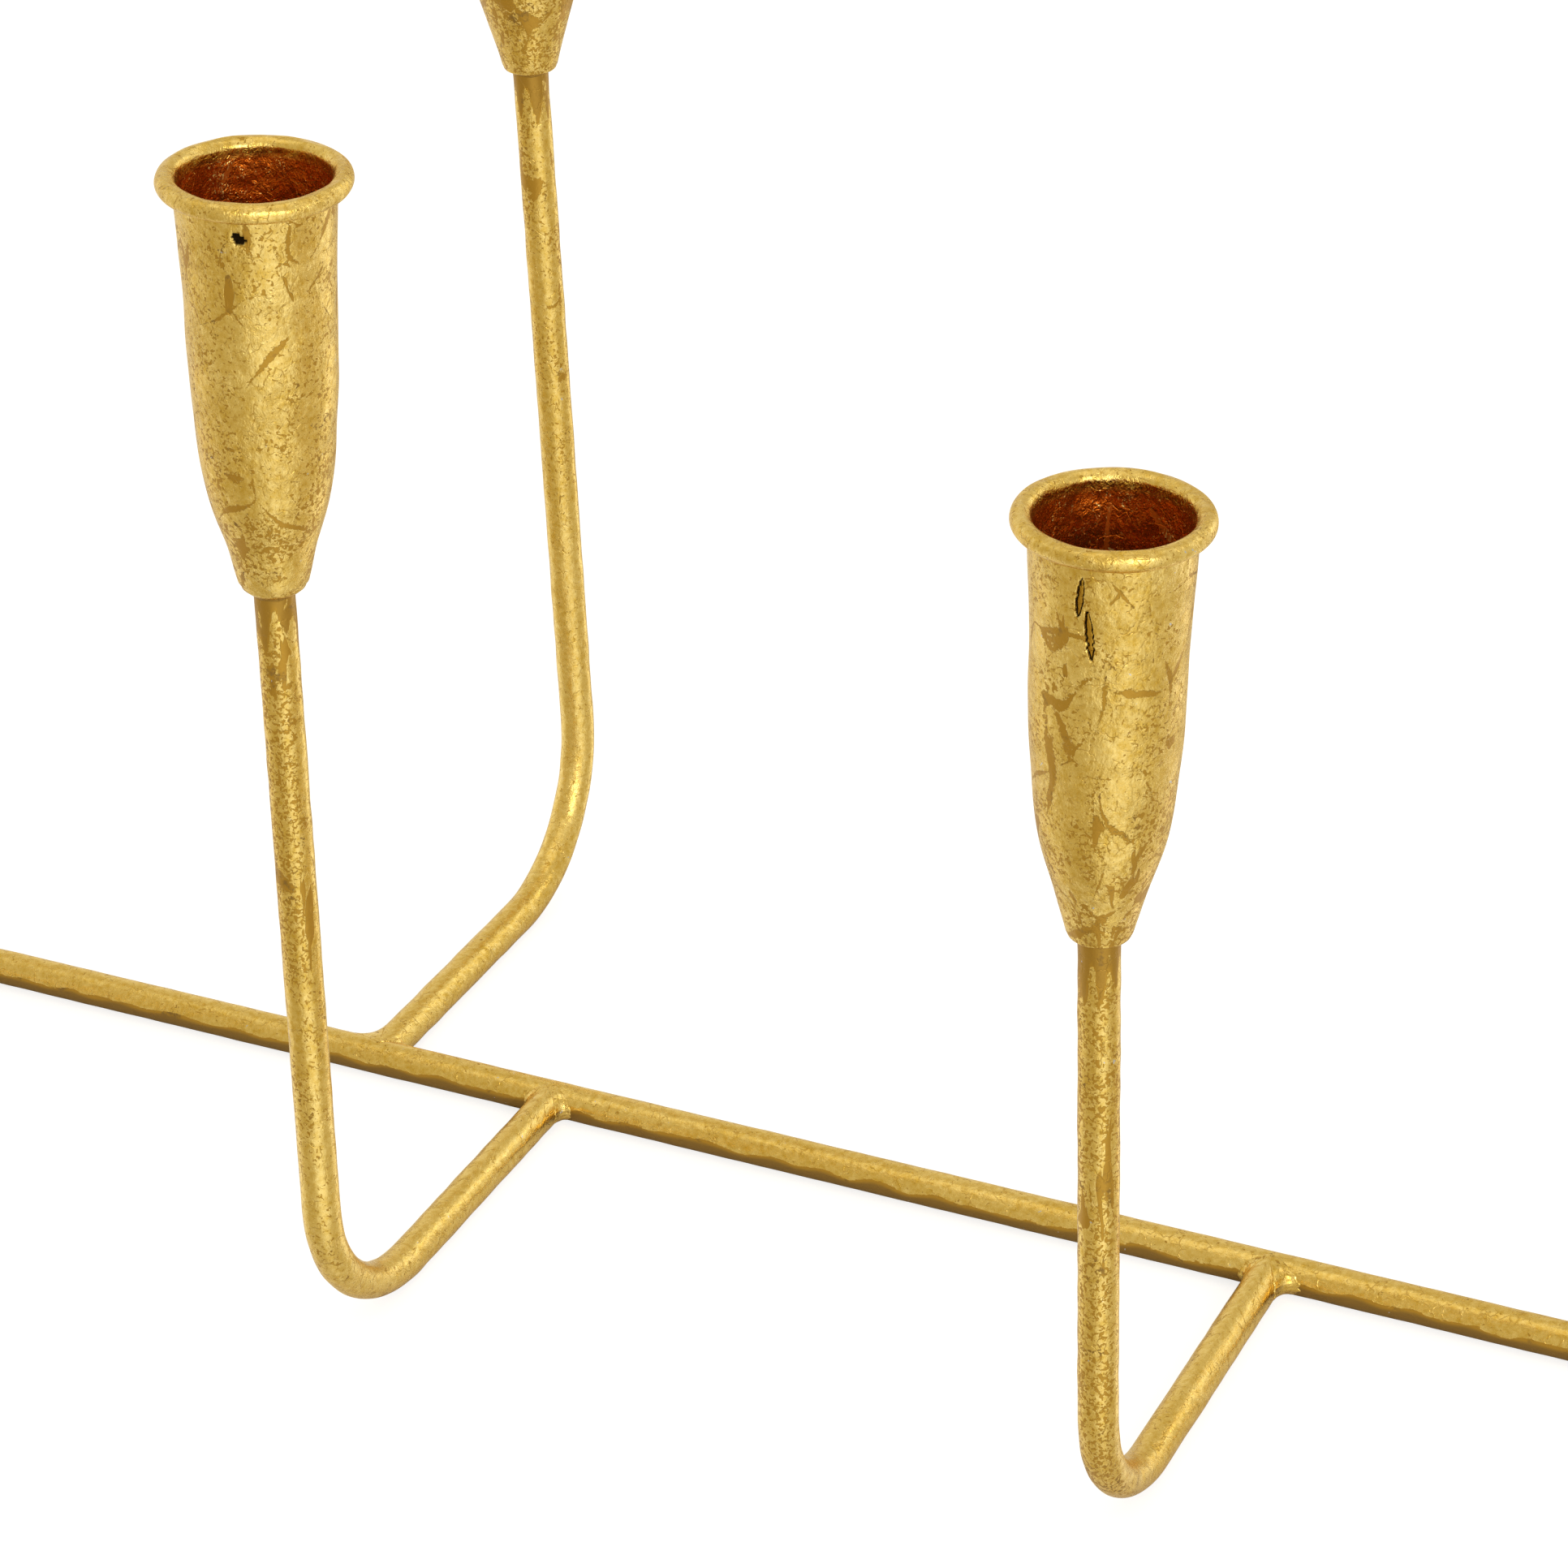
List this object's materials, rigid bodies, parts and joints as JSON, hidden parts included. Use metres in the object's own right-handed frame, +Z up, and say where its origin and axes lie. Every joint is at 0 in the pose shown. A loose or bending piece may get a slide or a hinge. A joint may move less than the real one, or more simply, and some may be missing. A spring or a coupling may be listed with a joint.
{
  "type": "menorah",
  "caption": "Long, low menorah bent and welded from round rod and leafed in gold: a bar on the table carries arms of stepped height, each ending in a tulip candle cup with a rolled rim.",
  "frame": {"origin": "on the table, under the middle of the bar", "axes": "+Z up, +X along the bar towards the right-hand lights, -Y towards the viewer, where the shamash stands"},
  "size_m": [0.6909, 0.1889, 0.2559],
  "materials": {
    "gilt_rod": "gold leaf over ochre bole on iron rod, satin, with fine wrinkles and worn specks",
    "gilt_cup": "gold leaf over red-brown bole, rubbed on the lower half, darker inside",
    "gilt_weld": "gilded weld and braze metal, lumpy, satin"
  },
  "bodies": {
    "root": {"base_bar": "gilt_rod", "shamash_arm": "gilt_rod", "shamash_cup": "gilt_cup", "shamash_weld": "gilt_weld", "shamash_braze": "gilt_weld", "right_1_arm": "gilt_rod", "right_1_cup": "gilt_cup", "right_1_weld": "gilt_weld", "right_1_braze": "gilt_weld", "right_2_arm": "gilt_rod", "right_2_cup": "gilt_cup", "right_2_weld": "gilt_weld", "right_2_braze": "gilt_weld", "right_3_arm": "gilt_rod", "right_3_cup": "gilt_cup", "right_3_weld": "gilt_weld", "right_3_braze": "gilt_weld", "right_4_arm": "gilt_rod", "right_4_cup": "gilt_cup", "right_4_weld": "gilt_weld", "right_4_braze": "gilt_weld", "left_1_arm": "gilt_rod", "left_1_cup": "gilt_cup", "left_1_weld": "gilt_weld", "left_1_braze": "gilt_weld", "left_2_arm": "gilt_rod", "left_2_cup": "gilt_cup", "left_2_weld": "gilt_weld", "left_2_braze": "gilt_weld", "left_3_arm": "gilt_rod", "left_3_cup": "gilt_cup", "left_3_weld": "gilt_weld", "left_3_braze": "gilt_weld", "left_4_arm": "gilt_rod", "left_4_cup": "gilt_cup", "left_4_weld": "gilt_weld", "left_4_braze": "gilt_weld"}
  },
  "joints": []
}
